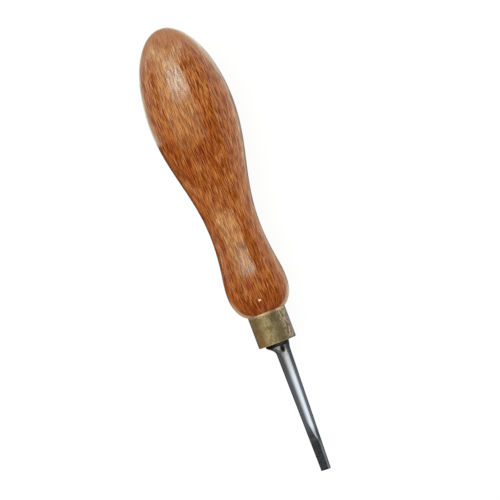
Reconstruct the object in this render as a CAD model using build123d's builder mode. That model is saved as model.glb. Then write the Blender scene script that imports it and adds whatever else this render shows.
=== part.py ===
"""Edge beveler: a leatherworking hand tool that shaves the square corner off a cut edge.

Frame: millimetres. The origin is the centre of the handle's shoulder, where the ferrule butts
against the wood. +X runs along the handle's axis from the butt to the cutting tip. +Z is the
blade's ground top flat, so the groove that straddles the leather's corner faces -Z.

Three pieces come apart on a bench: the turned handle, the brass ferrule pressed on its tenon, and
the one-piece blade (tang, bolster, shank and grooved tip) driven into the handle.
"""

import os
from math import cos, radians, sin

from build123d import *

# ---- driving dimensions -------------------------------------------------------------------
overall_length = 150.0
handle_length = 96.6  # butt to shoulder

# handle profile: radii, and places along X
bulb_radius = 14.2
bulb_x = -67.8
waist_radius = 8.25
waist_x = -27.4
cove_radius = 9.25
cove_x = -15.5
bead_radius = 10.0
bead_x = -8.5
nose_radius = 9.0
nose_x = -3.2
shoulder_radius = 6.4
nose_steepness = 1.5  # fall per unit of length where the bead meets the ferrule

# ferrule, and the tenon inside it
ferrule_radius = 6.25
ferrule_wall = 0.9
ferrule_length = 10.5
ferrule_edge = 0.25  # rounding of the outer rims
bore_chamfer = 0.3  # lead-in at both ends of the bore
tenon_inset = 0.3  # the wood ends this far inside the ferrule's front
tenon_chamfer = 0.4

# tang, square and tapering, and the pilot hole drilled for it
tang_root = 4.2
tang_end = 1.8
tang_length = 46.0
pilot_radius = 1.7
pilot_depth = 42.0

# bolster: an oval lip, set a little to the -Y side, that flares down to the round shank
lip_width = 8.0
lip_height = 6.8
lip_offset = -0.3
lip_thickness = 1.1
flare_length = 2.7
flare_steps = 5

# shank: a tapering rod that leaves the bolster a little to the +Y side
shank_radius = 2.4
tip_radius = 1.6
shank_offset = 0.8
tip_offset = 0.2

# ground top flat, as heights above the shank's axis
flat_length = 9.2
flat_back_height = 0.95
flat_tip_height = 0.85
step_length = 2.0  # steep part of the run-out, next to the flat
step_height = 1.42
runout_length = 5.2  # shallow part of the run-out, which fades into the round shank
runout_height = 1.95  # where it starts, just clear of the shank

# ground sole under the tip
sole_tip_depth = 1.0
sole_back_depth = 1.9
sole_length = 11.0
toe_rocker = 0.6  # rounding under the toes' front ends

# groove between the toes, which makes the cutting edge where it breaks through the top flat
groove_radius = 0.95
groove_mouth = 1.0  # half width at the cutter's foot
groove_foot = 2.4  # cutter's foot below the groove's centre
groove_angle = 26.0
edge_setback = 0.6  # cutting edge behind the toes' ends

# ---- derived places -----------------------------------------------------------------------
tenon_radius = ferrule_radius - ferrule_wall
tenon_length = ferrule_length - tenon_inset
tip_x = overall_length - handle_length
lip_front_x = tenon_length + lip_thickness
shank_x = lip_front_x + flare_length
flat_back_x = tip_x - flat_length
flat_slope = (flat_tip_height - flat_back_height) / flat_length
step_x = flat_back_x - step_length
runout_x = step_x - runout_length
edge_x = tip_x - edge_setback
clear = 2.0  # cutters reach this far beyond what they cut


def across(x):
    """The plane across the tool at x: its own x runs along +Y and its own y along +Z."""
    return Plane(origin=(x, 0, 0), x_dir=(0, 1, 0), z_dir=(1, 0, 0))


def flat_height(x):
    """Height of the ground top flat at x."""
    return flat_back_height + flat_slope * (x - flat_back_x)


os.makedirs("parts", exist_ok=True)

# ---- tang shape: part of the blade, and the socket it leaves in the wood ----------------------
with BuildPart() as tang:
    for x, side in ((tenon_length, tang_root), (tenon_length - tang_length, tang_end)):
        with BuildSketch(across(x)):
            Rectangle(side, side)
    loft()

# ---- handle: turned hardwood, with a tenon for the ferrule and a hole for the tang -----------
with BuildPart() as handle:
    with BuildSketch(Plane.XY):
        with BuildLine():
            EllipticalCenterArc(
                (bulb_x, 0), handle_length + bulb_x, bulb_radius, start_angle=90, arc_size=90
            )
            flank = Spline(
                (bulb_x, bulb_radius), (waist_x, waist_radius), tangents=[(1, 0), (1, 0)]
            )
            cove = Spline(
                flank @ 1,
                (cove_x, cove_radius),
                (bead_x, bead_radius),
                tangents=[(1, 0), (1, 0)],
            )
            nose = Spline(
                cove @ 1,
                (nose_x, nose_radius),
                (0, shoulder_radius),
                tangents=[(1, 0), (1, -nose_steepness)],
            )
            Polyline(
                nose @ 1,
                (0, tenon_radius),
                (tenon_length - tenon_chamfer, tenon_radius),
                (tenon_length, tenon_radius - tenon_chamfer),
                (tenon_length, 0),
                (-handle_length, 0),
            )
        make_face()
    revolve(axis=Axis.X)
    with Locations(across(tenon_length)):
        Hole(pilot_radius, depth=pilot_depth)
    add(tang.part, mode=Mode.SUBTRACT)

# ---- ferrule: a brass tube pressed on the tenon -----------------------------------------------
with BuildPart() as ferrule:
    with BuildSketch(across(0)):
        Circle(ferrule_radius)
        Circle(tenon_radius, mode=Mode.SUBTRACT)
    extrude(amount=ferrule_length)
    rims = ferrule.edges().filter_by(GeomType.CIRCLE).sort_by(SortBy.RADIUS)
    fillet(rims[-2:], ferrule_edge)
    chamfer(rims[:2], bore_chamfer)

# ---- blade: tang, bolster, shank and tip in one piece of steel --------------------------------
with BuildPart() as blade:
    add(tang.part)

    # bolster lip, seated on the end of the wood
    with BuildSketch(across(tenon_length)):
        with Locations((lip_offset, 0)):
            Ellipse(lip_width / 2, lip_height / 2)
    extrude(amount=lip_thickness)

    # flare from the lip down to the shank, concave all round
    for step in range(flare_steps + 1):
        run = step / flare_steps
        spread = (1 - run) ** 2
        with BuildSketch(across(lip_front_x + run * flare_length)):
            with Locations((shank_offset + (lip_offset - shank_offset) * spread, 0)):
                Ellipse(
                    shank_radius + (lip_width / 2 - shank_radius) * spread,
                    shank_radius + (lip_height / 2 - shank_radius) * spread,
                )
    loft()

    # tapering shank
    for x, side, radius in (
        (shank_x, shank_offset, shank_radius),
        (tip_x, tip_offset, tip_radius),
    ):
        with BuildSketch(across(x)):
            with Locations((side, 0)):
                Circle(radius)
    loft()

    # ground top flat with its run-out
    with BuildSketch(Plane.XZ):
        with BuildLine():
            runout = Spline(
                (runout_x, runout_height),
                (step_x, step_height),
                (flat_back_x, flat_back_height),
                tangents=[(runout_length, step_height - runout_height), (1, flat_slope)],
            )
            Polyline(
                runout @ 1,
                (tip_x + clear, flat_height(tip_x + clear)),
                (tip_x + clear, shank_radius + clear),
                (runout_x, shank_radius + clear),
                runout @ 0,
            )
        make_face()
    extrude(amount=shank_radius + clear, both=True, mode=Mode.SUBTRACT)

    # ground sole, rounded up at the toes' front ends
    with BuildSketch(Plane.XZ):
        with BuildLine():
            sole = Line((tip_x - sole_length, -sole_back_depth), (tip_x - toe_rocker, -sole_tip_depth))
            rocker = TangentArc(sole @ 1, (tip_x, toe_rocker - sole_tip_depth), tangent=sole % 1)
            Polyline(
                rocker @ 1,
                (tip_x + clear, toe_rocker - sole_tip_depth),
                (tip_x + clear, -shank_radius - clear),
                (tip_x - sole_length, -shank_radius - clear),
                sole @ 0,
            )
        make_face()
    extrude(amount=shank_radius + clear, both=True, mode=Mode.SUBTRACT)

    # groove, rising through the tip until it breaks through the top flat
    lift = radians(groove_angle)
    groove_centre = (
        edge_x + groove_radius * sin(lift),
        tip_offset,
        flat_height(edge_x) - groove_radius * cos(lift),
    )
    groove_plane = Plane(groove_centre, x_dir=(0, 1, 0), z_dir=(cos(lift), 0, sin(lift)))
    with BuildSketch(groove_plane):
        Circle(groove_radius)
        with BuildLine():
            Polyline(
                (-groove_radius, 0),
                (groove_radius, 0),
                (groove_mouth, -groove_foot),
                (-groove_mouth, -groove_foot),
                close=True,
            )
        make_face()
    extrude(amount=sole_length, both=True, mode=Mode.SUBTRACT)

for name, piece in (("handle", handle), ("ferrule", ferrule), ("blade", blade)):
    piece.part.label = name
    export_step(piece.part, f"parts/{name}.step")
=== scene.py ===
"""Looks of the edge beveler: turned and varnished beech, a dull brass ferrule, a polished steel shank.

In the row frame, +X runs from the butt to the cutting tip, +Z points out of the blade's ground top
flat, and the origin is the centre of the handle's shoulder. Lengths are in millimetres unless they say
otherwise, and become metres where an object is made.
"""

from math import cos, pi, radians, sin, sqrt

import bpy
import numpy as np
from mathutils import Matrix, Vector, noise


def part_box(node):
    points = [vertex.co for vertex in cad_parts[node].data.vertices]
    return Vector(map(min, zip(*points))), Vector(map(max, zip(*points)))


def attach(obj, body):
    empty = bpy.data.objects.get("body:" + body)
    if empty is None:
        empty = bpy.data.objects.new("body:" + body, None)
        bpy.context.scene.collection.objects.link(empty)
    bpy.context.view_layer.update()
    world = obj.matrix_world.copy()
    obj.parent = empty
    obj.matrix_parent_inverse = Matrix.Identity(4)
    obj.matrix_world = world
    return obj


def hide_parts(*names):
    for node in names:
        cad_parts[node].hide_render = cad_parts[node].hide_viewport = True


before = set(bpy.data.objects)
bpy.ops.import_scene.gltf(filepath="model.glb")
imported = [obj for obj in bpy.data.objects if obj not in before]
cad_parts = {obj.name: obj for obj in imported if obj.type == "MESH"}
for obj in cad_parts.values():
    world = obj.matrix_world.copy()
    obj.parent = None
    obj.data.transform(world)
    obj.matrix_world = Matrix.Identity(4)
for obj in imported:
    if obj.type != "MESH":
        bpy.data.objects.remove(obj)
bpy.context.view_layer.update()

MM = 0.001

# ---- directions ----
view_turn = radians(27)  # the camera stands this far round from +Z towards +Y
FACING = Vector((0, sin(view_turn), cos(view_turn)))  # from the tool to the camera
RIGHTWARD = Vector((0, cos(view_turn), -sin(view_turn)))  # the viewer's right of the tool
ALONG = Vector((1, 0, 0))


# ---- helpers ----
def add_object(name, data):
    """A new object in the scene."""
    added = bpy.data.objects.new(name, data)
    bpy.context.scene.collection.objects.link(added)
    return added


def axes_at(centre, right, up, back):
    """The transform of an object that stands at the centre with these directions as its axes."""
    return Matrix.Translation(centre) @ Matrix((right, up, back)).transposed().to_4x4()


def empty_tree(owner):
    """The node tree of a material, light or world, without nodes."""
    owner.use_nodes = True
    owner.node_tree.nodes.clear()
    return owner.node_tree


def add_node(tree, kind, inputs=None, **settings):
    """A new node. Inputs are sockets to link or values to set, by the input's name or number."""
    node = tree.nodes.new(kind)
    for name, value in settings.items():
        setattr(node, name, value)
    for key, value in (inputs or {}).items():
        if isinstance(value, bpy.types.NodeSocket):
            tree.links.new(value, node.inputs[key])
        else:
            node.inputs[key].default_value = value
    return node


def calc(tree, operation, *values):
    """Output of a math node."""
    return add_node(tree, "ShaderNodeMath", dict(enumerate(values)), operation=operation).outputs[0]


def times(tree, first, *others):
    """Product of the values."""
    for other in others:
        first = calc(tree, "MULTIPLY", first, other)
    return first


def square_sum(tree, first, second):
    """Sum of the squares of two values."""
    return calc(tree, "ADD", times(tree, first, first), times(tree, second, second))


def ease(tree, value, low, high, from_value=0.0, to_value=1.0):
    """Eases from one value to another as value goes from low to high."""
    inputs = {
        "Value": value,
        "From Min": low,
        "From Max": high,
        "To Min": from_value,
        "To Max": to_value,
    }
    node = add_node(tree, "ShaderNodeMapRange", inputs, interpolation_type="SMOOTHSTEP")
    return node.outputs["Result"]


def linear_step(tree, value, low, high):
    """Where value lies between low and high, from 0 to 1."""
    inputs = {"Value": value, "From Min": low, "From Max": high}
    return add_node(tree, "ShaderNodeMapRange", inputs).outputs["Result"]


def mix(tree, factor, first, second, blend="MIX"):
    """Mixes two colours, each a socket or a tuple."""
    first = (*first, 1) if isinstance(first, tuple) else first
    second = (*second, 1) if isinstance(second, tuple) else second
    inputs = {0: factor, 6: first, 7: second}
    node = add_node(tree, "ShaderNodeMix", inputs, data_type="RGBA", blend_type=blend)
    return node.outputs[2]


def colour_ramp(tree, value, stops):
    """Colour along a ramp, from (place, colour) stops."""
    node = add_node(tree, "ShaderNodeValToRGB", {0: value})
    elements = node.color_ramp.elements
    while len(elements) > 1:
        elements.remove(elements[-1])
    for index, (place, colour) in enumerate(stops):
        element = elements[0] if index == 0 else elements.new(place)
        element.position = place
        element.color = (*colour, 1)
    return node.outputs["Color"]


def noise_value(tree, vector, scale, detail=2.0, roughness=0.5, distortion=0.0):
    """Noise from 0 to 1, about 0.5 on average."""
    inputs = {
        "Vector": vector,
        "Scale": scale,
        "Detail": detail,
        "Roughness": roughness,
        "Distortion": distortion,
    }
    return add_node(tree, "ShaderNodeTexNoise", inputs).outputs["Fac"]


def scaled(tree, vector, factors):
    """The vector times the three factors."""
    inputs = {0: vector, 1: factors}
    return add_node(tree, "ShaderNodeVectorMath", inputs, operation="MULTIPLY").outputs[0]


def dot(tree, vector, direction):
    """Length of the vector along a direction."""
    inputs = {0: vector, 1: tuple(direction)}
    return add_node(tree, "ShaderNodeVectorMath", inputs, operation="DOT_PRODUCT").outputs["Value"]


def combine(tree, x, y, z):
    """A vector from three values."""
    return add_node(tree, "ShaderNodeCombineXYZ", {0: x, 1: y, 2: z}).outputs[0]


def place_mm(tree):
    """Place on the object in millimetres."""
    coordinates = add_node(tree, "ShaderNodeTexCoord").outputs["Object"]
    return scaled(tree, coordinates, (1 / MM, 1 / MM, 1 / MM))


def even_grey(tree, level):
    """A colour with the same level in all three channels."""
    return combine(tree, level, level, level)


def tint(tree, base, colour, factor=1.0):
    """The base multiplied by a colour, as far as the factor says."""
    return mix(tree, factor, base, colour, "MULTIPLY")


def off_spot(tree, x, right, place, size):
    """Squared distance from the centre of an oval spot, which is 1 on its outline."""
    off_x = calc(tree, "DIVIDE", calc(tree, "SUBTRACT", x, place[0]), size[0])
    off_side = calc(tree, "DIVIDE", calc(tree, "SUBTRACT", right, place[1]), size[1])
    return square_sum(tree, off_x, off_side)


def edge_on(tree, low, high, most=1.0):
    """0 where the skin faces the camera, rising where it is seen from the edge."""
    facing = add_node(tree, "ShaderNodeLayerWeight", {"Blend": 0.5}).outputs["Facing"]
    return ease(tree, facing, low, high, 0.0, most)


def bump(tree, height, distance):
    """Normal from a height, of which one unit stands for the distance in metres."""
    inputs = {"Height": height, "Distance": distance}
    return add_node(tree, "ShaderNodeBump", inputs).outputs["Normal"]


def make_material(name, looks):
    """A material of one Principled shader, with the inputs that looks gives for the place."""
    material = bpy.data.materials.new(name)
    tree = empty_tree(material)
    shader = add_node(tree, "ShaderNodeBsdfPrincipled", looks(tree, place_mm(tree)))
    add_node(tree, "ShaderNodeOutputMaterial", {0: shader.outputs[0]})
    return material


# ---- wood ----
pith_depth = 45.0  # the tree's pith ran this far behind the tool's axis, as the camera sees it
pith_turn = radians(9)  # and this far round to the viewer's right
pith_slope = -0.215  # change in distance from the pith per unit along the tool
slope_from = -68.0  # where the slope is taken from
OUTWARD = FACING * cos(pith_turn) - RIGHTWARD * sin(pith_turn)  # from the pith through the tool
SIDEWAYS = RIGHTWARD * cos(pith_turn) + FACING * sin(pith_turn)

light_wood = (0.51, 0.178, 0.036)
mid_wood = (0.42, 0.117, 0.014)
dark_wood = (0.32, 0.075, 0.005)
red_wood = (0.34, 0.062, 0.007)
near_ferrule_wood = (0.27, 0.055, 0.008)
end_wood = (0.48, 0.225, 0.092)
patch_wood = (0.36, 0.055, 0.008)
shoulder_light = (0.56, 0.36, 0.20)

# what the wood's colour is multiplied by
streak_tints = (0.95, 0.92, 0.84), (1.05, 1.08, 1.14)
speckle_tints = (0.88, 0.82, 0.60), (1.12, 1.18, 1.50)
glint_tint = (1.22, 1.60, 3.60)
dash_tint = (0.38, 0.17, 0.04)
outline_shade_tint = (0.60, 0.50, 0.40)

patch_place = (-9.4, -1.75)  # small red patch: along the tool, and to the viewer's right
patch_size = (1.5, 1.4)
belly_x = -65.0  # where the hand has worn the bulb

# places along the tool from which and to which a look fades in
figure_fade = (-96.0, -80.0)
end_grain_fade = (-76.0, -93.0)
wear_fade = (-15.5, -11.0)
near_ferrule_fade = (-9.0, -2.0)
shoulder_fade = (-8.0, -4.0)

# tone of the growth rings, by distance from the pith less the slope
ring_tones = (
    (36.0, mid_wood),
    (37.5, light_wood),
    (38.8, dark_wood),
    (40.0, mid_wood),
    (41.2, light_wood),
    (42.5, dark_wood),
    (43.6, mid_wood),
    (44.6, light_wood),
    (46.4, mid_wood),
    (48.8, light_wood),
    (49.6, dark_wood),
    (52.0, mid_wood),
    (54.6, dark_wood),
    (56.8, mid_wood),
    (58.4, light_wood),
    (61.0, mid_wood),
)
ring_share = 0.62  # of the wood's tone that comes from the growth rings
ring_fray = 2.6  # how far the fibres carry one ring's tone into the next
ring_wave = 2.4  # how uneven the rings are
mean_radius = 11.0  # of the handle's skin
mark_size = 0.7  # of the marks in a noise of scale 1
large_flecks = (6.5, 0.58)  # length and width of a fleck's cell
small_flecks = (4.2, 0.42)
fleck_reach = 0.40  # half size of a fleck, as a share of its cell


def ring_distance(tree, place):
    """Distance from the pith, less the slope of the rings, a little uneven."""
    along = dot(tree, place, ALONG)
    across = dot(tree, place, SIDEWAYS)
    out = calc(tree, "ADD", dot(tree, place, OUTWARD), pith_depth)
    radius = calc(tree, "SQRT", square_sum(tree, across, out))
    sloped = calc(tree, "MULTIPLY_ADD", calc(tree, "SUBTRACT", along, slope_from), pith_slope, radius)
    slow = noise_value(tree, scaled(tree, place, (0.03, 0.09, 0.09)), 1.0, 2.0, 0.5)
    return calc(tree, "MULTIPLY_ADD", calc(tree, "SUBTRACT", slow, 0.5), ring_wave, sloped)


def grain_place(tree, place):
    """Place along the tool and round its skin.

    Marks run straight in front and at the back, and follow the outline at the sides.
    """
    across = dot(tree, place, SIDEWAYS)
    out = dot(tree, place, OUTWARD)
    turn = calc(tree, "ARCTAN2", across, out)
    radius = calc(tree, "SQRT", square_sum(tree, across, out))
    wider = calc(tree, "SUBTRACT", radius, mean_radius)
    cosine = calc(tree, "COSINE", turn)
    spread = times(tree, calc(tree, "SINE", turn), cosine, calc(tree, "ABSOLUTE", cosine))
    around = calc(tree, "MULTIPLY_ADD", wider, spread, times(tree, turn, mean_radius))
    return combine(tree, dot(tree, place, ALONG), around, 0.0)


def grain_noise(tree, grain, length, width, detail):
    """Noise drawn out along the grain, with marks of about this length and width."""
    stretched = scaled(tree, grain, (mark_size / length, mark_size / width, 1.0))
    return noise_value(tree, stretched, 1.0, detail, 0.55)


def flecks(tree, grain, cell_size, strength):
    """Spindles along the grain, one to a cell, some darker than others."""
    along = calc(tree, "DIVIDE", dot(tree, grain, (1, 0, 0)), cell_size[0])
    beside = calc(tree, "DIVIDE", dot(tree, grain, (0, 1, 0)), cell_size[1])
    inputs = {"Vector": combine(tree, along, beside, 0.0), "Scale": 1.0}
    cells = add_node(tree, "ShaderNodeTexVoronoi", inputs, voronoi_dimensions="2D")
    spindle = ease(tree, cells.outputs["Distance"], fleck_reach, 0.1)
    darkness = dot(tree, cells.outputs["Color"], (0.5, 0.5, 0.0))
    return times(tree, spindle, darkness, strength)


def frayed_by(tree, value, fibre, reach):
    """The value, shifted back and forth by the fibres."""
    return calc(tree, "MULTIPLY_ADD", calc(tree, "SUBTRACT", fibre, 0.5), reach, value)


def growth_bands(tree, place, fibre):
    """Broad bands of tone from the growth rings, with their edges frayed along the fibres."""
    frayed = frayed_by(tree, ring_distance(tree, place), fibre, ring_fray)
    first, last = ring_tones[0][0], ring_tones[-1][0]
    stops = [((distance - first) / (last - first), tone) for distance, tone in ring_tones]
    return colour_ramp(tree, linear_step(tree, frayed, first, last), stops)


def wood_tone(tree, place, along, fibre):
    """Colour of the bare wood without its figure: bands, blotches, end grain and darkening next to the
    ferrule.
    """
    blotch = noise_value(tree, scaled(tree, place, (0.06, 0.2, 0.2)), 1.0, 3.0, 0.6)
    even = mix(tree, ease(tree, blotch, 0.38, 0.62), light_wood, mid_wood)
    base = mix(tree, ring_share, even, growth_bands(tree, place, fibre))
    shifted = scaled(tree, place, (0.09, 0.32, 0.32))
    redness = noise_value(tree, shifted, 1.0, 3.0, 0.6, 0.4)
    base = mix(tree, ease(tree, redness, 0.50, 0.68, 0.0, 0.5), base, red_wood)

    # paler towards the butt's end grain
    base = mix(tree, ease(tree, along, *end_grain_fade, 0.0, 0.8), base, end_wood)

    # darker next to the ferrule, and redder in one small patch
    near_ferrule = ease(tree, frayed_by(tree, along, fibre, 3.0), *near_ferrule_fade, 0.0, 0.7)
    base = mix(tree, near_ferrule, base, near_ferrule_wood)
    off = off_spot(tree, along, dot(tree, place, RIGHTWARD), patch_place, patch_size)
    patch = ease(tree, frayed_by(tree, off, fibre, 3.0), 0.4, 1.6, 0.85, 0.0)
    in_front = calc(tree, "GREATER_THAN", dot(tree, place, FACING), 0.0)
    return mix(tree, times(tree, patch, in_front), base, patch_wood)


def wood_dashes(tree, grain, fine, clear):
    """How dark the flecks and pores are, from 0 to 1."""
    pores = ease(tree, fine, 0.54, 0.62, 0.0, 0.55)
    large = flecks(tree, grain, large_flecks, 2.0)
    small = flecks(tree, grain, small_flecks, 2.1)
    dashes = calc(tree, "MAXIMUM", calc(tree, "MAXIMUM", large, small), pores)
    return times(tree, calc(tree, "MINIMUM", dashes, 1.0), clear)


def varnish_wear(tree, place, along, dashes):
    """How thin the varnish is: worn in front by the ferrule and on the belly, sunken in the dashes."""
    by_ferrule = ease(tree, along, *wear_fade, 0.0, 0.75)
    off_belly = calc(tree, "ABSOLUTE", calc(tree, "SUBTRACT", along, belly_x))
    belly = ease(tree, off_belly, 3.0, 11.0, 0.4, 0.0)
    in_front = ease(tree, dot(tree, place, RIGHTWARD), 7.5, 4.5)
    worn = times(tree, calc(tree, "MAXIMUM", by_ferrule, belly), in_front)
    return calc(tree, "MAXIMUM", worn, times(tree, dashes, 0.3))


def wood_looks(tree, place):
    """Varnished, steam-reddened beech cut on the flat, with flecks and faint growth rings."""
    along = dot(tree, place, ALONG)
    grain = grain_place(tree, place)
    fibre = grain_noise(tree, grain, 12.0, 0.75, 4.0)
    base = wood_tone(tree, place, along, fibre)

    # faint streaks and speckles
    streak = ease(tree, fibre, 0.34, 0.66)
    base = tint(tree, base, mix(tree, streak, *streak_tints))
    speckle = ease(tree, noise_value(tree, place, 3.4, 1.0), 0.3, 0.7)
    base = tint(tree, base, mix(tree, speckle, *speckle_tints))

    # pale glints and dark dashes, which are fainter on the end grain
    fine = grain_noise(tree, grain, 3.0, 0.20, 1.0)
    clear = ease(tree, along, *figure_fade, 0.3, 1.0)
    glints = times(tree, ease(tree, fine, 0.47, 0.38), clear)
    base = tint(tree, base, glint_tint, glints)
    dashes = wood_dashes(tree, grain, fine, clear)
    base = tint(tree, base, dash_tint, dashes)

    # painted shade along the outline: darker where the skin is seen edge-on, as through more of the
    # tinted varnish
    base = tint(tree, base, outline_shade_tint, edge_on(tree, 0.56, 0.80))

    # light from below catches the edge of the shoulder
    rim = times(tree, edge_on(tree, 0.50, 0.68, 0.8), ease(tree, along, *shoulder_fade))
    base = mix(tree, rim, base, shoulder_light)

    # the grain shows faintly through the varnish
    height = calc(tree, "MULTIPLY_ADD", dashes, -0.3, fibre)
    ripple = noise_value(tree, scaled(tree, place, (0.25, 0.5, 0.5)), 1.0, 1.0)
    film = calc(tree, "MULTIPLY_ADD", height, 0.05, ripple)
    return {
        "Base Color": base,
        "Roughness": 0.5,
        "Specular IOR Level": 0.0,
        "Normal": bump(tree, height, 0.00006),
        "Coat Weight": calc(tree, "SUBTRACT", 1.0, varnish_wear(tree, place, along, dashes)),
        "Coat Roughness": 0.12,
        "Coat IOR": 1.3,
        "Coat Normal": bump(tree, film, 0.00012),
    }


# ---- brass ----
clean_brass = (0.30, 0.235, 0.125)
olive_brass = (0.20, 0.155, 0.055)
brown_brass = (0.13, 0.082, 0.034)
greyish_sheen_brass = (0.38, 0.31, 0.23)
rubbed_brass = (0.50, 0.43, 0.35)
orange_brass = (0.42, 0.21, 0.045)
bare_and_lit_brass = (0.62, 0.42, 0.25)
shaded_brass = (0.03, 0.025, 0.018)
brass_streak_tints = (0.70, 0.64, 0.52), (1.22, 1.25, 1.30)
brass_outline_shade = (0.45, 0.42, 0.42)
mottled_from = radians(27), radians(34)  # round the tube to the right, from the side in sight


def near_front(tree, angle):
    """1 on the sides that the camera sees, fading to 0 at the back."""
    return ease(tree, calc(tree, "ABSOLUTE", angle), 2.2, 2.8, 1.0, 0.0)


def tarnish(tree, place, angle, cloud, speck):
    """Colour of the tube's outside: mottled on the right, with a painted reflection of the pale floor
    there, and stained on the left.
    """
    base = mix(tree, ease(tree, cloud, 0.38, 0.66), clean_brass, olive_brass)
    base = mix(tree, ease(tree, speck, 0.52, 0.68, 0.0, 0.7), base, brown_brass)
    streak = noise_value(tree, scaled(tree, place, (0.5, 3.2, 3.2)), 1.0, 4.0, 0.7)
    streak = ease(tree, streak, 0.36, 0.64)
    base = tint(tree, base, mix(tree, streak, *brass_streak_tints))

    # mottled and rubbed on the right, and greyer there as a painted reflection of the pale floor
    in_sight = near_front(tree, angle)
    right = times(tree, ease(tree, angle, *mottled_from), in_sight)
    base = mix(tree, times(tree, right, 0.6), base, greyish_sheen_brass)
    mottle = noise_value(tree, scaled(tree, place, (0.9, 2.2, 2.2)), 1.0, 4.0, 0.7)
    mottled = times(tree, ease(tree, mottle, 0.46, 0.58), right)
    base = mix(tree, mottled, base, brown_brass)
    rubbed = times(tree, ease(tree, mottle, 0.48, 0.40, 0.0, 0.6), right)
    base = mix(tree, rubbed, base, rubbed_brass)

    # brown-orange heat stain on the left, stronger towards the blade
    left = times(tree, ease(tree, angle, -0.3, -0.9), in_sight)
    forward = ease(tree, dot(tree, place, ALONG), 2.0, 9.5, 0.45, 1.0)
    spotty = ease(tree, speck, 0.40, 0.56, 0.0, 0.9)
    return mix(tree, times(tree, left, forward, spotty), base, orange_brass)


def brass_looks(tree, place):
    """Drawn brass tube under a dull brown tarnish, with fine marks."""
    x = dot(tree, place, ALONG)
    angle = calc(tree, "ARCTAN2", dot(tree, place, RIGHTWARD), dot(tree, place, FACING))
    cloud = noise_value(tree, place, 0.35, 5.0, 0.62)
    speck = noise_value(tree, place, 2.6, 4.0, 0.6)
    base = tarnish(tree, place, angle, cloud, speck)

    # bare metal along both rims, partly a painted highlight on their rounding, but for a painted
    # shadow of the gap on the right of the front one
    nibble = calc(tree, "MULTIPLY_ADD", speck, 0.5, x)
    back_rim = ease(tree, nibble, 0.65, 1.35, 0.8, 0.0)
    front_rim = ease(tree, nibble, 10.25, 10.6, 0.0, 0.8)
    base = mix(tree, calc(tree, "MAXIMUM", back_rim, front_rim), base, bare_and_lit_brass)
    dark_side = times(tree, ease(tree, angle, 0.5, 0.75), near_front(tree, angle))
    shaded = times(tree, ease(tree, x, 10.0, 10.3), dark_side)
    base = mix(tree, shaded, base, shaded_brass)
    # painted shade along the outline, where the tube is seen edge-on
    base = tint(tree, base, brass_outline_shade, edge_on(tree, 0.52, 0.76))

    # marks round the tube from the lathe, among finer specks
    rings = noise_value(tree, combine(tree, times(tree, x, 9.0), angle, 0.0), 1.0, 3.0)
    marks = calc(tree, "MULTIPLY_ADD", rings, 0.4, times(tree, speck, 0.6))
    return {
        "Base Color": base,
        "Metallic": 0.55,
        "Roughness": ease(tree, cloud, 0.3, 0.7, 0.24, 0.34),
        "Specular IOR Level": 0.3,
        "Normal": bump(tree, marks, 0.00006),
    }


# ---- steel ----
bright_steel = (0.73, 0.75, 0.77)
rubbed_steel = (0.98, 0.96, 0.93)
grey_scale = (0.42, 0.42, 0.42)
dark_scale = (0.17, 0.165, 0.16)
lip_spot_dark = (0.012, 0.011, 0.010)
sooty_steel = (0.05, 0.043, 0.034)
tip_end_shade_steel = (0.02, 0.02, 0.02)
ground_greys = (0.11, 0.11, 0.115), (0.30, 0.30, 0.305)
heat_tint = (0.80, 0.76, 0.71)
use_tint = (0.56, 0.54, 0.52)
no_tint = (1.0, 1.0, 1.0)

hollow_place = (12.6, 0.80)  # dark spot under the lip: along the tool, and to the viewer's right
hollow_size = (1.35, 0.75)
wheel_fade = (37.5, 42.5)  # the grinding fades in from here to here


def polished_looks(tree, place):
    """Polished shank, darker and duller where it was forged next to the ferrule."""
    x = dot(tree, place, ALONG)
    right = dot(tree, place, RIGHTWARD)

    # grey from the fire near the bolster, with a ragged end that slants down to the left
    slanted = calc(tree, "MULTIPLY_ADD", right, 0.9, x)
    ragged = calc(tree, "MULTIPLY_ADD", noise_value(tree, place, 0.9, 3.0), 3.0, slanted)
    forged = ease(tree, ragged, 14.5, 19.0, 1.0, 0.0)
    spots = ease(tree, noise_value(tree, place, 1.6, 4.0), 0.40, 0.62)
    # painted light and shade: the forged part is lighter on the left and darker on the right
    side = ease(tree, right, -1.5, 2.2, 2.3, 0.5)
    scale = tint(tree, mix(tree, spots, grey_scale, dark_scale), even_grey(tree, side))
    base = mix(tree, times(tree, forged, 0.85), bright_steel, scale)

    # a little warmer near the fire, and duller along the sides of the tip
    cool = ease(tree, x, 16.0, 24.0)
    base = tint(tree, base, mix(tree, cool, heat_tint, no_tint))
    used = times(tree, ease(tree, x, 38.5, 41.5), ease(tree, x, 46.0, 43.0))
    base = tint(tree, base, mix(tree, used, no_tint, use_tint))

    # polished by the leather beside the flat
    base = mix(tree, ease(tree, x, 43.0, 46.0), base, rubbed_steel)

    # a near-black spot under the lip, and soot on the lip itself
    off = off_spot(tree, x, right, hollow_place, hollow_size)
    base = mix(tree, ease(tree, off, 0.4, 1.5, 1.0, 0.0), base, lip_spot_dark)
    base = mix(tree, ease(tree, x, 11.4, 12.0, 1.0, 0.0), base, sooty_steel)

    # polishing lines run along the shank, and lumps cover the forged part
    lines = noise_value(tree, scaled(tree, place, (0.12, 5.0, 5.0)), 1.0, 3.0, 0.6)
    rough = calc(tree, "MULTIPLY_ADD", lines, 0.10, 0.13)
    lumps = times(tree, noise_value(tree, place, 1.4, 2.0), forged)
    height = calc(tree, "MULTIPLY_ADD", lumps, 12.0, lines)
    return {
        "Base Color": base,
        "Metallic": 1.0,
        "Roughness": calc(tree, "MULTIPLY_ADD", forged, 0.14, rough),
        "Normal": bump(tree, height, 0.000012),
    }


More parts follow.
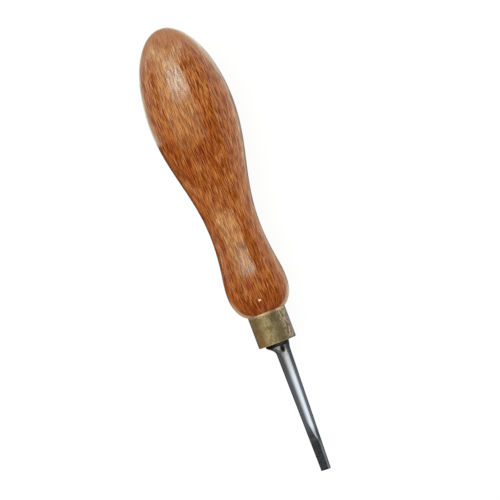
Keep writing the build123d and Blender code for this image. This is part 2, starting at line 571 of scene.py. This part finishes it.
def ground_looks(tree, place):
    """Steel as it left the grinding wheel: matte, with scratches across the tool."""
    x = dot(tree, place, ALONG)
    scratches = noise_value(tree, scaled(tree, place, (9.0, 0.7, 0.7)), 1.0, 4.0, 0.6)
    shade = ease(tree, noise_value(tree, place, 1.1, 3.0), 0.3, 0.7, 0.85, 1.1)
    grey = mix(tree, ease(tree, scratches, 0.35, 0.65), *ground_greys)
    base = tint(tree, grey, even_grey(tree, shade))

    # the wheel ran out slowly at the back, and the tip's very end is darkened as painted shade
    base = mix(tree, ease(tree, x, *wheel_fade), bright_steel, base)
    base = mix(tree, ease(tree, x, 52.9, 53.3, 0.0, 0.75), base, tip_end_shade_steel)
    matte = ease(tree, x, *wheel_fade, 0.12, 0.28)
    return {
        "Base Color": base,
        "Metallic": 1.0,
        "Roughness": calc(tree, "MULTIPLY_ADD", scratches, 0.15, matte),
        "Normal": bump(tree, scratches, 0.00003),
    }


# ---- mesh helpers ----
def new_piece(name, points, faces, materials, face_materials=None, sharp_angle=35.0):
    """An object from points in millimetres, smooth but for edges sharper than the angle."""
    mesh = bpy.data.meshes.new(name)
    mesh.from_pydata([tuple(c * MM for c in point) for point in points], [], faces)
    for material in materials:
        mesh.materials.append(material)
    if face_materials is not None:
        mesh.polygons.foreach_set("material_index", face_materials)
    mesh.validate()
    mesh.shade_smooth()
    mesh.set_sharp_from_angle(angle=radians(sharp_angle))
    return add_object(name, mesh)


def lathe(profile, segments, closed=False):
    """Points and faces of (x, radius) turned about X. A radius of 0 is one point on the axis."""
    points, faces, rings = [], [], []
    for x, radius in profile:
        if radius == 0:
            rings.append([len(points)] * segments)
            points.append((x, 0.0, 0.0))
            continue
        rings.append(list(range(len(points), len(points) + segments)))
        for step in range(segments):
            turn = 2 * pi * step / segments
            points.append((x, radius * cos(turn), radius * sin(turn)))
    following = rings[1:] + rings[:1] if closed else rings[1:]
    for first, second in zip(rings, following):
        for step in range(segments):
            after = (step + 1) % segments
            corners = [first[step], second[step], second[after], first[after]]
            face = [corner for place, corner in enumerate(corners) if corner not in corners[:place]]
            if len(face) > 2:
                faces.append(face)
    return points, faces


def cubic_through(knots, values, at):
    """Natural cubic spline through values at the knots."""
    gaps = np.diff(knots)
    count = len(knots)
    system = np.eye(count)
    target = np.zeros(count)
    slopes = np.diff(values) / gaps
    for i in range(1, count - 1):
        system[i, i - 1 : i + 2] = gaps[i - 1], 2 * (gaps[i - 1] + gaps[i]), gaps[i]
        target[i] = 6 * (slopes[i] - slopes[i - 1])
    bends = np.linalg.solve(system, target)
    piece = np.clip(np.searchsorted(knots, at) - 1, 0, count - 2)
    gap = gaps[piece]
    left, right = (knots[piece + 1] - at) / gap, (at - knots[piece]) / gap
    curve = left * values[piece] + right * values[piece + 1]
    bend_left = (left**3 - left) * bends[piece]
    bend_right = (right**3 - right) * bends[piece + 1]
    return curve + (bend_left + bend_right) * gap**2 / 6


# ---- handle ----
butt_x = -96.6
shoulder_x = 0.0
shoulder_radius = 6.4
tenon_radius = 5.35
tenon_end = 10.2
tenon_chamfer = 0.4
socket_mouth = 3.0  # the tang's hole, as a round taper
socket_end = 1.3
socket_depth = 46.2
outline_spacing = 0.5  # least distance between the outline's points that are read
outline_samples = 300
handle_segments = 160


def socket_cover(xs):
    """A radius between the handle's outer skin and the tang's hole inside it."""
    near_butt = np.sqrt(np.clip((xs - butt_x) * 3.0, 0, None))
    return np.minimum(5.8, near_butt)


def turned_outline(node):
    """The CAD node's outer profile from its butt to the shoulder, as evenly spaced (x, radius)."""
    raw = np.array([v.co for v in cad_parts[node].data.vertices]) / MM
    raw = np.column_stack([raw[:, 0], np.hypot(raw[:, 1], raw[:, 2])])
    outer = raw[(raw[:, 0] < shoulder_x + 1e-4) & (raw[:, 1] > socket_cover(raw[:, 0]))]
    outer = outer[np.lexsort((outer[:, 1], outer[:, 0]))]
    kept = [np.array([outer[0, 0], 0.0])]
    for point in outer:
        if np.hypot(*(point - kept[-1])) > outline_spacing:
            kept.append(point)
    kept[-1] = np.array([shoulder_x, shoulder_radius])
    kept = np.array(kept)

    # mirrored over the axis at first, so that the curve crosses it squarely at the butt
    mirrored = kept[1:4][::-1] * (1, -1)
    line = np.vstack([mirrored, kept])
    lengths = np.concatenate([[0], np.cumsum(np.hypot(*np.diff(line, axis=0).T))])
    at = np.linspace(lengths[len(mirrored)], lengths[-1], outline_samples)
    xs = cubic_through(lengths, line[:, 0], at)
    radii = cubic_through(lengths, line[:, 1], at)
    radii[0] = 0.0
    return [(float(x), float(max(radius, 0.0))) for x, radius in zip(xs, radii)]


def make_handle():
    """The turned handle with its tenon, and the hole its tang sits in."""
    inside = [
        (shoulder_x, tenon_radius),
        (tenon_end - tenon_chamfer, tenon_radius),
        (tenon_end, tenon_radius - tenon_chamfer),
        (tenon_end, socket_mouth),
        (tenon_end - socket_depth, socket_end),
        (tenon_end - socket_depth, 0),
    ]
    points, faces = lathe(turned_outline("handle") + inside, handle_segments)
    return new_piece("handle_wood", points, faces, [make_material("varnished_beech", wood_looks)])


# ---- ferrule ----
rim_round = 0.22
rim_steps = 5
bore_chamfer = 0.3
barrel_steps = 12
ferrule_segments = 128
uneven_reach = 1.2  # how far back from the front rim the tube is uneven
uneven_depth = 0.12


def make_ferrule():
    """A length of drawn tube with softened rims, a little uneven at the front."""
    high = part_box("ferrule")[1]
    length, outer = high.x / MM, high.y / MM
    back = []
    for step in range(rim_steps, -1, -1):
        turn = pi / 2 * step / rim_steps
        back.append((rim_round * (1 - sin(turn)), outer - rim_round * (1 - cos(turn))))
    front = [(length - x, radius) for x, radius in reversed(back)]
    barrel = [(length * step / barrel_steps, outer) for step in range(1, barrel_steps)]
    bore = [
        (length, tenon_radius + bore_chamfer),
        (length - bore_chamfer, tenon_radius),
        (bore_chamfer, tenon_radius),
        (0.0, tenon_radius + bore_chamfer),
    ]
    points, faces = lathe(back + barrel + front + bore, ferrule_segments, closed=True)
    uneven = []
    for x, y, z in points:
        reach = max(0.0, (x - length + uneven_reach) / uneven_reach)
        broad = noise.noise(Vector((y * 0.9, z * 0.9, 3.0)))
        fine = noise.noise(Vector((y * 3, z * 3, 7.0)))
        uneven.append((x - reach * uneven_depth * (0.6 + broad + 0.5 * fine), y, z))
    return new_piece("ferrule_brass", uneven, faces, [make_material("tarnished_brass", brass_looks)])


# ---- blade ----
lip_back_x = 10.2
lip_front_x = 11.3
lip_half = (4.0, 3.4)  # half width and half height
lip_side = -0.3
flare_end_x = 14.0
tip_x = 53.4
shank_radius = 2.4
tip_radius = 1.6
shank_side = 0.8
tip_side = 0.2
flat_back_x = 44.2
flat_back_height = 0.95
flat_tip_height = 0.85
step_x = 42.2
step_height = 1.42
runout_x = 37.0
runout_height = 1.95
sole_back_x = 42.4
sole_back_depth = 1.9
sole_tip_depth = 1.0
toe_rocker = 0.6
groove_radius = 0.95
groove_mouth = 1.0
groove_foot = 2.4
groove_angle = radians(26)
edge_setback = 0.6
uncut = 9.0  # height well clear of the steel, where nothing is ground off
tang_root = 4.2
tang_end = 1.8
tang_end_x = -35.8
steeper_runout = 1.6  # the run-out's slope at the step, as a multiple of its mean
flat_steps = 24  # steps round a section over the top, and as many along the sole
side_steps = 28  # steps down either side
least_turn = 0.35  # half width of the section's top and sole where not ground, in radians
edge_round = 0.12  # of the lip's edges
cutter_reach = 11.0
cutter_steps = 32
sharp_steel = 30.0  # edges of the steel that are sharper stay sharp, in degrees


def hermite(x, start, end, start_slope, end_slope):
    """A cubic between two (x, height) points with the slopes given at them."""
    length = end[0] - start[0]
    t = (x - start[0]) / length
    rise = (2 * t**3 - 3 * t**2 + 1) * start[1] + (3 * t**2 - 2 * t**3) * end[1]
    bend = (t**3 - 2 * t**2 + t) * start_slope + (t**3 - t**2) * end_slope
    return rise + bend * length


def top_height(x):
    """Height of the ground top flat over the shank's axis, or above the steel where there is none."""
    flat_slope = (flat_tip_height - flat_back_height) / (tip_x - flat_back_x)
    runout_slope = (step_height - runout_height) / (step_x - runout_x)
    if x < runout_x:
        return uncut
    step = (step_x, step_height)
    step_slope = steeper_runout * runout_slope
    if x < step_x:
        return hermite(x, (runout_x, runout_height), step, runout_slope, step_slope)
    if x < flat_back_x:
        return hermite(x, step, (flat_back_x, flat_back_height), step_slope, flat_slope)
    return flat_back_height + flat_slope * (x - flat_back_x)


def sole_height(x):
    """Height of the ground sole under the tip, or below the steel where there is none."""
    if x < sole_back_x:
        return -uncut
    run = (x - sole_back_x) / (tip_x - toe_rocker - sole_back_x)
    height = -sole_back_depth + run * (sole_back_depth - sole_tip_depth)
    toe = x - (tip_x - toe_rocker)
    if toe > 0:
        height = -sole_tip_depth + toe_rocker - sqrt(max(0.0, toe_rocker**2 - toe**2))
    return height


def section_form(x):
    """Centre and half sizes of the blade's section at x, before grinding."""
    if x <= lip_front_x:
        return lip_side, *lip_half
    if x < flare_end_x:
        spread = (1 - (x - lip_front_x) / (flare_end_x - lip_front_x)) ** 2
        return (
            shank_side + (lip_side - shank_side) * spread,
            shank_radius + (lip_half[0] - shank_radius) * spread,
            shank_radius + (lip_half[1] - shank_radius) * spread,
        )
    run = (x - flare_end_x) / (tip_x - flare_end_x)
    radius = shank_radius + run * (tip_radius - shank_radius)
    return shank_side + run * (tip_side - shank_side), radius, radius


def section(x, shrink=0.0):
    """Points round the blade at x: over the top, down the right, along the sole, up the left."""
    side, wide, high = section_form(x)
    wide, high = wide - shrink, high - shrink
    top = min(top_height(x), high)
    sole = max(sole_height(x), -high)
    top_turn = max(least_turn, np.arccos(top / high))
    sole_turn = max(least_turn, np.arccos(-sole / high))
    points = []
    arcs = (
        (-top_turn, top_turn, flat_steps),
        (top_turn, pi - sole_turn, side_steps),
        (pi - sole_turn, pi + sole_turn, flat_steps),
        (pi + sole_turn, 2 * pi - top_turn, side_steps),
    )
    for start, end, count in arcs:
        for step in range(count):
            turn = start + (end - start) * step / count
            height = min(max(high * cos(turn), sole), top)
            points.append((x, side + wide * sin(turn), height))
    return points


def tang_section(x, width, count):
    """Points round the square tang, in step with those of the blade's sections."""
    per_side = count // 4
    first = round(0.31 * per_side)  # the blade's sections start a little left of the top's middle
    corners = ((-1, 1), (1, 1), (1, -1), (-1, -1), (-1, 1))
    points = []
    for step in range(count):
        side, place = divmod(step + first, per_side)
        start, end = corners[side % 4], corners[side % 4 + 1]
        run = place / per_side
        across, up = (a + (b - a) * run for a, b in zip(start, end))
        points.append((x, across * width / 2, up * width / 2))
    return points


def is_ground(x, step):
    """Whether the face after this step round the section, at x, was cut by the grinding wheel."""
    if step < flat_steps:
        return x > runout_x + 0.4
    return 0 <= step - flat_steps - side_steps < flat_steps and x > sole_back_x


def blade_stations():
    """Places of the blade's sections ahead of the tang, as (x, how much smaller it is)."""
    stations = [
        (lip_back_x, edge_round),
        (lip_back_x + edge_round, 0.0),
        (lip_front_x - edge_round, 0.0),
        (lip_front_x - edge_round / 4, edge_round / 2),
        (lip_front_x + edge_round / 2, edge_round * 4 / 3),
    ]
    for start, end, count in (
        (lip_front_x + 0.3, flare_end_x, 16),
        (flare_end_x + 1.0, runout_x, 26),
        (runout_x + 0.2, tip_x - toe_rocker - 0.2, 76),
        (tip_x - toe_rocker, tip_x, 12),
    ):
        stations += [(x, 0.0) for x in np.linspace(start, end, count)]
    return stations


def make_blade():
    """Tang, bolster lip, flare, shank and ground tip as one skin, with the groove cut through it."""
    stations = blade_stations()
    rings = [section(x, shrink) for x, shrink in stations]
    count = len(rings[0])
    tang = ((tang_end_x, tang_end), (lip_back_x, tang_root))
    rings = [tang_section(x, width, count) for x, width in tang] + rings
    places = [x for x, width in tang] + [x for x, shrink in stations]

    points = [point for ring in rings for point in ring]
    faces, kinds = [], []
    for row in range(len(rings) - 1):
        for step in range(count):
            after = (step + 1) % count
            here, there = row * count, (row + 1) * count
            faces.append((here + step, here + after, there + after, there + step))
            kinds.append(1 if is_ground(places[row], step) else 0)
    last = (len(rings) - 1) * count
    faces.append(tuple(range(last, last + count)))
    kinds.append(1)
    faces.append(tuple(reversed(range(count))))
    kinds.append(0)
    materials = [
        make_material("polished_steel", polished_looks),
        make_material("ground_steel", ground_looks),
    ]
    piece = new_piece("blade_steel", points, faces, materials, kinds, sharp_steel)
    cut_groove(piece)
    return piece


def groove_cutter():
    """A bar with a round top, inclined so that it leaves through the top flat near the tip."""
    edge_x = tip_x - edge_setback
    centre_x = edge_x + groove_radius * sin(groove_angle)
    centre = Vector((centre_x, tip_side, top_height(edge_x) - groove_radius * cos(groove_angle)))
    ahead = Vector((cos(groove_angle), 0, sin(groove_angle)))
    over = Vector((-sin(groove_angle), 0, cos(groove_angle)))
    outline = [(-groove_mouth, -groove_foot)]
    for step in range(cutter_steps + 1):
        turn = pi - pi * step / cutter_steps
        outline.append((groove_radius * cos(turn), groove_radius * sin(turn)))
    outline.append((groove_mouth, -groove_foot))
    points = []
    for reach in (-cutter_reach, cutter_reach):
        for across, up in outline:
            points.append(tuple(centre + ahead * reach + Vector((0, across, 0)) + over * up))
    count = len(outline)
    faces = [tuple(reversed(range(count))), tuple(range(count, 2 * count))]
    for step in range(count):
        after = (step + 1) % count
        faces.append((step, after, count + after, count + step))
    return points, faces


def cut_groove(piece):
    """Cuts the groove, with polished walls, out of the blade and keeps the result as its mesh."""
    points, faces = groove_cutter()
    cutter = new_piece("groove_cutter", points, faces, [piece.data.materials[0]])
    modifier = piece.modifiers.new("groove", "BOOLEAN")
    modifier.operation = "DIFFERENCE"
    modifier.solver = "EXACT"
    modifier.object = cutter
    bpy.context.view_layer.update()
    graph = bpy.context.evaluated_depsgraph_get()
    mesh = bpy.data.meshes.new_from_object(piece.evaluated_get(graph))
    piece.modifiers.clear()
    piece.data = mesh
    bpy.data.objects.remove(cutter)
    mesh.shade_smooth()
    mesh.set_sharp_from_angle(angle=radians(sharp_steel))


# ---- floor ----
# what the floor looks like in reflections on either side, a glow that only reflections see, dark on
# the left as a painted shadow: (place along the tool, colour)
left_floor = (
    (-240, (0.7, 0.7, 0.6)),
    (-140, (0.6, 0.6, 0.5)),
    (-112, (0.9, 0.95, 0.8)),
    (-92, (1.6, 1.7, 1.35)),
    (-78, (2.2, 2.35, 1.85)),
    (-66, (2.5, 2.6, 2.0)),
    (-63, (0.05, 0.05, 0.05)),
    (-26, (0.05, 0.05, 0.05)),
    (-12, (0.30, 0.28, 0.25)),
    (6, (0.34, 0.32, 0.28)),
    (16, (0.06, 0.06, 0.07)),
)
right_floor = (
    (-240, (0.7, 0.7, 0.6)),
    (-140, (0.7, 0.7, 0.6)),
    (-112, (1.2, 1.25, 1.1)),
    (-94, (2.6, 2.75, 2.3)),
    (-76, (2.2, 2.3, 1.9)),
    (-8, (2.1, 2.2, 1.8)),
    (0, (0.9, 0.87, 0.8)),
    (10, (0.9, 0.87, 0.8)),
    (13, (0.10, 0.11, 0.13)),
    (24, (0.15, 0.165, 0.185)),
)
floor_start = -240.0
floor_end = 60.0

# painted shadow: in reflections the floor is darker right beside the tool: (place along it, half width
# of the dark strip)
painted_shadow_strip = (
    (-105.5, 0.0),
    (-104, 5.0),
    (-99, 11.0),
    (-88, 18.0),
    (-68, 22.0),
    (-27, 14.5),
    (-8, 16.0),
    (0, 11.5),
    (16, 9.0),
)
strip_unit = 25.0  # width that the ramp of widths gives as 1
strip_fade = 3.0  # width of the strip's soft edge
strip_level = 0.25
paper_white = (0.88, 0.88, 0.88, 1)
paper_glow = 1.05  # even white, which is most of what the camera sees
glow_share = 0.88


def floor_stops(stops):
    """The stops with their places as shares of the ramp."""
    return [((x - floor_start) / (floor_end - floor_start), colour) for x, colour in stops]


def mix_shader(tree, factor, first, second):
    """A node that mixes two shader nodes."""
    inputs = {0: factor, 1: first.outputs[0], 2: second.outputs[0]}
    return add_node(tree, "ShaderNodeMixShader", inputs)


def floor_material():
    """Plain white paper, which the camera sees mostly as an even white glow. In reflections it glows,
    bright beside the handle and dark beside the blade.
    """
    material = bpy.data.materials.new("pale_floor")
    material.cycles.emission_sampling = "NONE"
    tree = empty_tree(material)
    place = place_mm(tree)
    path = add_node(tree, "ShaderNodeLightPath")
    paper = add_node(tree, "ShaderNodeBsdfDiffuse", {"Color": paper_white})
    glow = add_node(tree, "ShaderNodeEmission", {"Strength": paper_glow})
    seen = mix_shader(tree, glow_share, paper, glow)

    # what the varnish and the metal mirror
    at = linear_step(tree, dot(tree, place, ALONG), floor_start, floor_end)
    aside = dot(tree, place, RIGHTWARD)
    on_left = colour_ramp(tree, at, floor_stops(left_floor))
    on_right = colour_ramp(tree, at, floor_stops(right_floor))
    colour = mix(tree, ease(tree, aside, -10.0, 6.0), on_left, on_right)
    widths = [(x, (width / strip_unit,) * 3) for x, width in painted_shadow_strip]
    strip = times(tree, colour_ramp(tree, at, floor_stops(widths)), strip_unit)
    past = calc(tree, "SUBTRACT", calc(tree, "ABSOLUTE", aside), strip)
    lit = ease(tree, past, -strip_fade, 0.0, strip_level, 1.0)
    mirrored = add_node(tree, "ShaderNodeEmission", {"Color": colour, "Strength": lit})

    direct = mix_shader(tree, path.outputs["Is Camera Ray"], paper, seen)
    full = mix_shader(tree, path.outputs["Is Glossy Ray"], direct, mirrored)
    add_node(tree, "ShaderNodeOutputMaterial", {0: full.outputs[0]})
    return material


bulb_touch = (-67.8, 14.2)
bead_touch = (-8.5, 10.0)
floor_reach = 3000.0
slope_start = -150.0  # the sheet is inclined to the axis between here
slope_end = 85.0  # and here
floor_joins = (-600, -300, -200, -160, -140, -120, -60, 0, 60, 75, 90, 110, 140, 200, 400)


def make_floor():
    """A pale sheet under the bulb and the bead, which runs parallel to the axis further out."""
    slope = (bulb_touch[1] - bead_touch[1]) / (bead_touch[0] - bulb_touch[0])
    stations = (-floor_reach, *floor_joins, floor_reach)
    points, faces = [], []
    for x in stations:
        held = max(slope_start, min(slope_end, x))
        height = -bulb_touch[1] + slope * (held - bulb_touch[0])
        points += [(x * MM, -floor_reach * MM, height * MM), (x * MM, floor_reach * MM, height * MM)]
    for row in range(len(stations) - 1):
        faces.append((2 * row, 2 * row + 2, 2 * row + 3, 2 * row + 1))
    mesh = bpy.data.meshes.new("floor")
    mesh.from_pydata(points, [], faces)
    mesh.materials.append(floor_material())
    mesh.shade_smooth()
    add_object("floor", mesh)


# ---- light ----
box_turn = -8  # middle of the soft box, in degrees round the tool
box_half = 33
wall_turn = 25
wall_half = 79
room_level = 0.92
room_swing = 0.18  # how much more light comes from the brighter side
room_mirrored = (0.13, 0.13, 0.135)
bright_side = (FACING - 0.6 * RIGHTWARD).normalized()


def turn_and_lean(tree, incoming):
    """Where a lamp's ray comes from: round the tool from the camera to the right, and along it."""
    right = dot(tree, incoming, -RIGHTWARD)
    facing = dot(tree, incoming, -FACING)
    lean = calc(tree, "ARCSINE", dot(tree, incoming, -ALONG))
    return calc(tree, "ARCTAN2", right, facing), lean


def fade(tree, angle, dark, bright, least=0.0):
    """Rises to 1 as the angle goes from dark to bright, both in degrees."""
    return ease(tree, angle, radians(dark), radians(bright), least, 1.0)


def lit_between(tree, angle, low, high, least=0.0):
    """1 between two soft edges, each as (dark, bright) degrees. The low edge falls to the least."""
    return times(tree, fade(tree, angle, *low, least), fade(tree, angle, *high))


def window_pattern(tree, turn, lean):
    """A tall window to the left of the camera, which goes on over the butt."""
    beside = lit_between(tree, turn, (-80, -54), (28, 14))
    over_butt = times(tree, fade(tree, lean, -42, -58), fade(tree, turn, -115, -85))
    ends = lit_between(tree, lean, (-67, -54), (17, 2), 0.05)
    return times(tree, calc(tree, "MAXIMUM", beside, over_butt), ends)


def hazy_window_pattern(tree, turn, lean):
    """The window beside the tool, as a dull surface shows it."""
    beside = lit_between(tree, turn, (-93, -39), (35, -19))
    return times(tree, beside, lit_between(tree, lean, (-64.5, -55.5), (16.5, 7.5)))


def left_wall_pattern(tree, turn, lean):
    """A pale wall far round to the left, beside the butt."""
    beside = lit_between(tree, turn, (-150, -125), (-72, -98))
    return times(tree, beside, lit_between(tree, lean, (-64, -46), (3, -5)))


def box_pattern(tree, turn, lean):
    """A soft box over the butt, brightest in the middle."""
    across = calc(tree, "DIVIDE", calc(tree, "SUBTRACT", turn, radians(box_turn)), radians(box_half))
    beside = ease(tree, calc(tree, "POWER", across, 2.0), 0.0, 1.0, 1.0, 0.0)
    return times(tree, beside, lit_between(tree, lean, (-56, -22), (-7, -30)))


def wall_pattern(tree, turn, lean):
    """A pale wall on the right that fades to both sides."""
    from_wall = calc(tree, "ABSOLUTE", calc(tree, "SUBTRACT", turn, radians(wall_turn)))
    return ease(tree, from_wall, 0.0, radians(wall_half), 1.0, 0.0)


def make_world():
    """A dim room. Matt surfaces see an even light that comes a little more from the camera's left."""
    world = bpy.data.worlds.new("soft_studio")
    bpy.context.scene.world = world
    world.cycles.sampling_method = "NONE"
    tree = empty_tree(world)
    direction = add_node(tree, "ShaderNodeTexCoord").outputs["Generated"]
    level = calc(tree, "MULTIPLY_ADD", dot(tree, direction, bright_side), room_swing, room_level)
    path = add_node(tree, "ShaderNodeLightPath")
    matt = even_grey(tree, level)
    colour = mix(tree, path.outputs["Is Glossy Ray"], matt, room_mirrored)
    colour = mix(tree, path.outputs["Is Camera Ray"], colour, (1.0, 1.0, 1.0))
    background = add_node(tree, "ShaderNodeBackground", {"Color": colour})
    add_node(tree, "ShaderNodeOutputWorld", {0: background.outputs[0]})


def make_reflection(name, centre, size, distance, radiance, receiver, pattern=None, colour=(1, 1, 1)):
    """A lamp that only the receiver mirrors.

    The centre is its direction from the tool, as turn and lean in degrees. Its size and its distance
    are in metres.
    """
    light = bpy.data.lights.new(name, "AREA")
    light.shape = "RECTANGLE"
    light.size, light.size_y = size
    light.energy = radiance * pi * size[0] * size[1]
    light.color = colour
    if pattern:
        tree = empty_tree(light)
        incoming = add_node(tree, "ShaderNodeNewGeometry").outputs["Incoming"]
        strength = pattern(tree, *turn_and_lean(tree, incoming))
        emission = add_node(tree, "ShaderNodeEmission", {"Strength": strength})
        add_node(tree, "ShaderNodeOutputLight", {0: emission.outputs[0]})
    lamp = add_object(name, light)
    lamp.visible_diffuse = False
    turn, lean = radians(centre[0]), radians(centre[1])
    towards = ALONG * sin(lean) + (FACING * cos(turn) + RIGHTWARD * sin(turn)) * cos(lean)
    beside = ALONG.cross(towards).normalized()
    lamp.matrix_world = axes_at(towards * distance, beside, towards.cross(beside), towards)
    receivers = bpy.data.collections.new(name + "_receivers")
    receivers.objects.link(receiver)
    lamp.light_linking.receiver_collection = receivers


def make_reflections(wood, brass, steel):
    """What the varnish, the brass and the steel mirror."""
    # direction, size and distance of each
    window = ((-27, -22), (2.6, 2.4), 1.0)
    tall_window = ((-27, -30), (4.4, 4.0), 0.8)
    box = ((-8, -31), (1.3, 1.2), 1.0)
    left_wall = ((-112, -28), (2.4, 2.6), 1.0)
    wall = ((25, 0), (6.0, 6.0), 1.0)
    make_reflection("window_on_wood", *tall_window, 6.8, wood, window_pattern, (0.92, 1.0, 0.58))
    make_reflection("box_on_wood", *box, 16.0, wood, box_pattern, (0.68, 1.06, 1.12))
    make_reflection("wall_on_wood", *left_wall, 1.5, wood, left_wall_pattern, (0.95, 1.0, 0.76))
    make_reflection("window_on_brass", *window, 1.5, brass, hazy_window_pattern, (1.0, 0.97, 0.9))
    make_reflection("wall_on_steel", *wall, 1.03, steel, wall_pattern, (0.95, 1.0, 1.05))
    make_reflection("lamp_on_steel", (-30, 66), (1.0, 0.8), 1.0, 0.8, steel, None, (0.9, 1.0, 0.97))
    make_reflection("dot_on_wood", (-8, 36), (0.09, 0.09), 0.7, 350.0, wood, None, (1.0, 0.8, 0.55))


# ---- camera ----
tool_roll = radians(20.68)  # the tool's axis leans this far from the picture's upright
camera_lean = radians(2)  # the camera stands this far towards the tip
picture_width = 159.1  # at the tool
lens_length = 100.0
sensor_width = 36.0
origin_right = 5.11  # the frame's origin, right of and below the picture's centre
origin_below = 19.61


def make_camera():
    """A long lens that looks down on the lying tool, with its tip to the lower right."""
    camera_data = bpy.data.cameras.new("camera")
    camera_data.lens = lens_length
    camera_data.sensor_width = sensor_width
    back = FACING * cos(camera_lean) + ALONG * sin(camera_lean)
    down_tool = ALONG * cos(camera_lean) - FACING * sin(camera_lean)
    right = down_tool * sin(tool_roll) + RIGHTWARD * cos(tool_roll)
    up = RIGHTWARD * sin(tool_roll) - down_tool * cos(tool_roll)
    centre = (up * origin_below - right * origin_right) * MM
    distance = picture_width / 2 / (sensor_width / 2 / lens_length) * MM
    camera = add_object("camera", camera_data)
    camera.matrix_world = axes_at(centre + back * distance, right, up, back)
    bpy.context.scene.camera = camera


# ---- the scene ----
pieces = []
for maker, node, slot in (
    (make_handle, "handle", "handle_wood"),
    (make_ferrule, "ferrule", "ferrule_brass"),
    (make_blade, "blade", "blade_steel"),
):
    piece = maker()
    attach(piece, "root")
    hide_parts(node)
    pieces.append(piece)

make_floor()
make_world()
make_reflections(*pieces)
make_camera()
bpy.context.scene.view_settings.view_transform = "Standard"
